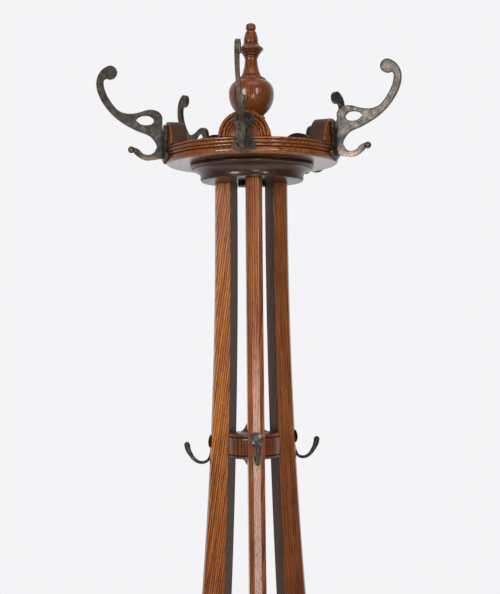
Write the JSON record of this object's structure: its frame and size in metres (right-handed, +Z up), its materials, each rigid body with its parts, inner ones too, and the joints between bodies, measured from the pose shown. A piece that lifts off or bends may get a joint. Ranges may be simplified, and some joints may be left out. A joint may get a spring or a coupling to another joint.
{
  "type": "hall tree with hooks",
  "caption": "Free-standing oak coat tree: sabre legs tied by a turned drum carry a revolving moulded disc with large cast hat hooks, a turned finial and small coat hooks below.",
  "frame": {"origin": "on the turning axis of the head, at floor level", "axes": "+Z up the turning axis; -Y towards the front leg; +X to the right seen from the front"},
  "size_m": [0.5883, 0.5841, 1.95],
  "materials": {
    "leg_oak": "fumed and varnished oak boards, straight grain",
    "turned_oak": "turned oak, dark stain in the grooves, gloss varnish",
    "patinated_bronze": "cast bronze with a dark brown-grey patina",
    "bronzed_screws": "domed screws finished to match the hooks",
    "blackened_iron": "blackened turned iron",
    "bearing_brass": "plain turned brass",
    "plain_steel": "plain steel",
    "beech_dowel": "raw beech"
  },
  "bodies": {
    "base": {"leg_front": "leg_oak", "leg_right": "leg_oak", "leg_left": "leg_oak", "mid_drum": "turned_oak", "lower_disc": "turned_oak", "fixed_block": "turned_oak", "pivot_bush": "bearing_brass", "thrust_washer": "bearing_brass", "pivot_boss": "blackened_iron", "pivot_boss_screws": "plain_steel", "drum_screws": "plain_steel", "lower_disc_screws": "plain_steel", "leg_plugs": "leg_oak", "coat_hook_front": "patinated_bronze", "coat_hook_right": "patinated_bronze", "coat_hook_left": "patinated_bronze", "coat_hook_screws": "bronzed_screws"},
    "head": {"head_disc": "turned_oak", "pivot_bolt": "plain_steel", "pivot_nut": "plain_steel", "finial": "turned_oak", "finial_screws": "plain_steel", "block_dowels": "beech_dowel", "hat_hook_screws": "bronzed_screws", "hook_block_front": "turned_oak", "hook_block_right": "turned_oak", "hook_block_back_right": "turned_oak", "hook_block_back_left": "turned_oak", "hook_block_left": "turned_oak", "hat_hook_front": "patinated_bronze", "hat_hook_right": "patinated_bronze", "hat_hook_back_right": "patinated_bronze", "hat_hook_back_left": "patinated_bronze", "hat_hook_left": "patinated_bronze"}
  },
  "joints": [
    {"name": "head_turn", "type": "hinge", "parent": "base", "child": "head", "pos_m": [0, 0, 1.6636], "axis": [0, 0, 1], "continuous": true}
  ]
}
